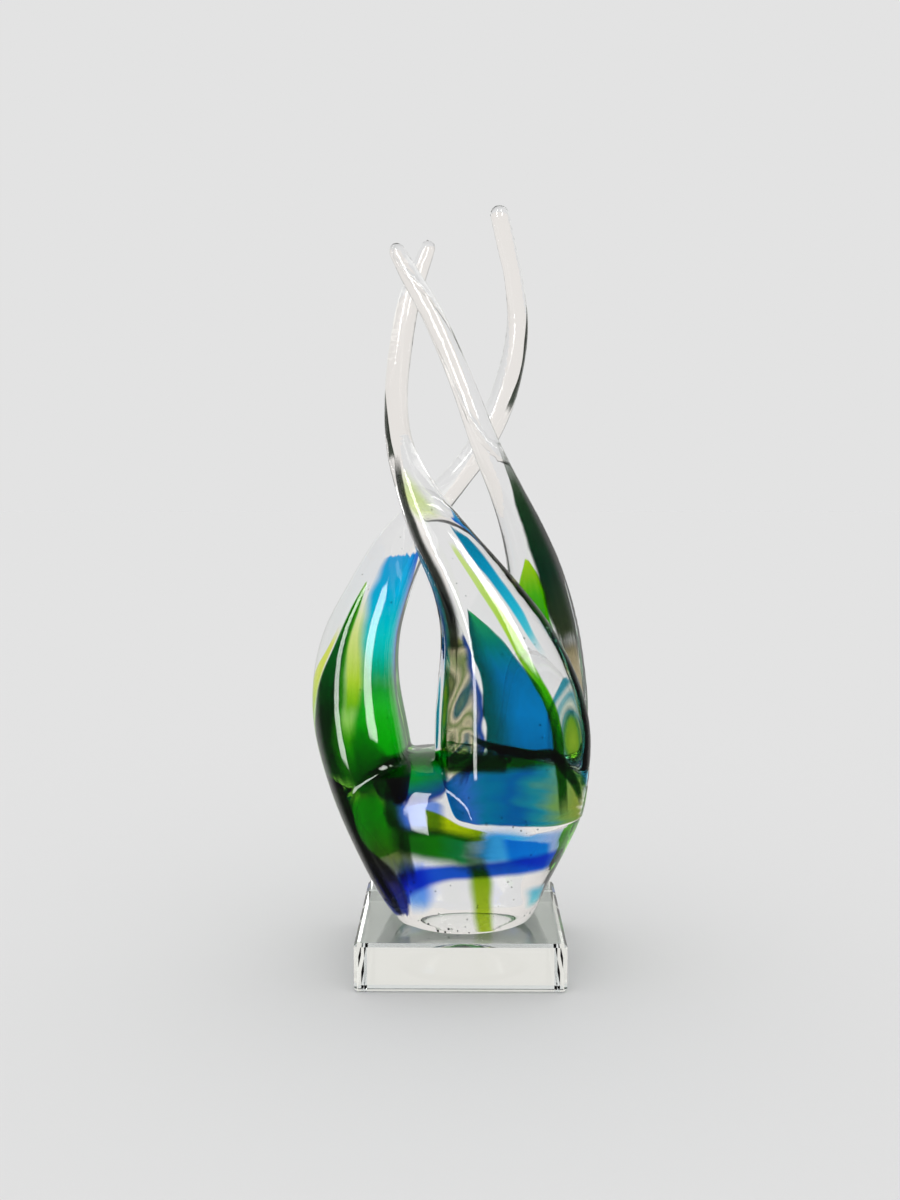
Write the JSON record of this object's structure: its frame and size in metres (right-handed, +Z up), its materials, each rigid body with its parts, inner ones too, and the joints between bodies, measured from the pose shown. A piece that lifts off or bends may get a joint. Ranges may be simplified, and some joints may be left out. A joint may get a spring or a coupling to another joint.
{
  "type": "glass wave sculpture",
  "caption": "Clear glass sculpture of twisting arms rising from a cup-shaped body, with green, blue and lime glass ribbons inside, on a square crystal block.",
  "frame": {"origin": "centre of the crystal block's underside, where the sculpture stands", "axes": "+Z up, +X to the right seen from the front, +Y away from the viewer; the front face of the block faces -Y"},
  "size_m": [0.1124, 0.08, 0.2985],
  "materials": {
    "clear_glass": "clear hot-worked glass, fire polished, faint warm tint",
    "crystal": "clear optical crystal, polished flat, small chamfers",
    "adhesive": "cured clear adhesive",
    "green_glass": "deep green transparent glass",
    "lime_glass": "yellow-green transparent glass",
    "cyan_glass": "bright cyan transparent glass",
    "teal_glass": "teal-blue transparent glass",
    "cobalt_glass": "cobalt blue transparent glass",
    "violet_glass": "dark violet-blue transparent glass",
    "smoke_glass": "dark olive smoke transparent glass"
  },
  "bodies": {
    "root": {"crystal_block": "crystal", "adhesive_film": "adhesive", "body": "clear_glass", "left_arm": "clear_glass", "front_arm": "clear_glass", "right_arm": "clear_glass", "green_leaf_left": "green_glass", "lime_veil_left": "lime_glass", "cyan_ribbon_left": "cyan_glass", "green_ribbon_left": "green_glass", "violet_patch": "violet_glass", "green_tongue": "green_glass", "smoke_core": "smoke_glass", "teal_core_front": "teal_glass", "green_veil_front": "green_glass", "green_stripe_front": "green_glass", "cyan_stripe_front": "cyan_glass", "teal_edge_front": "teal_glass", "lime_wisp_front": "lime_glass", "green_leaf_right": "green_glass", "green_core_right": "green_glass", "cobalt_band": "cobalt_glass", "blue_patch": "cobalt_glass", "green_patch": "green_glass", "lime_patch": "lime_glass", "lime_stripe": "lime_glass", "green_fold_left": "green_glass", "teal_foot_front": "teal_glass", "green_eye_front": "green_glass", "smoke_edge_front": "smoke_glass", "olive_swirl_front": "smoke_glass", "khaki_patch_right": "smoke_glass", "sky_veil": "cobalt_glass", "teal_fade": "cyan_glass", "blue_fade_left": "cobalt_glass"}
  },
  "joints": []
}
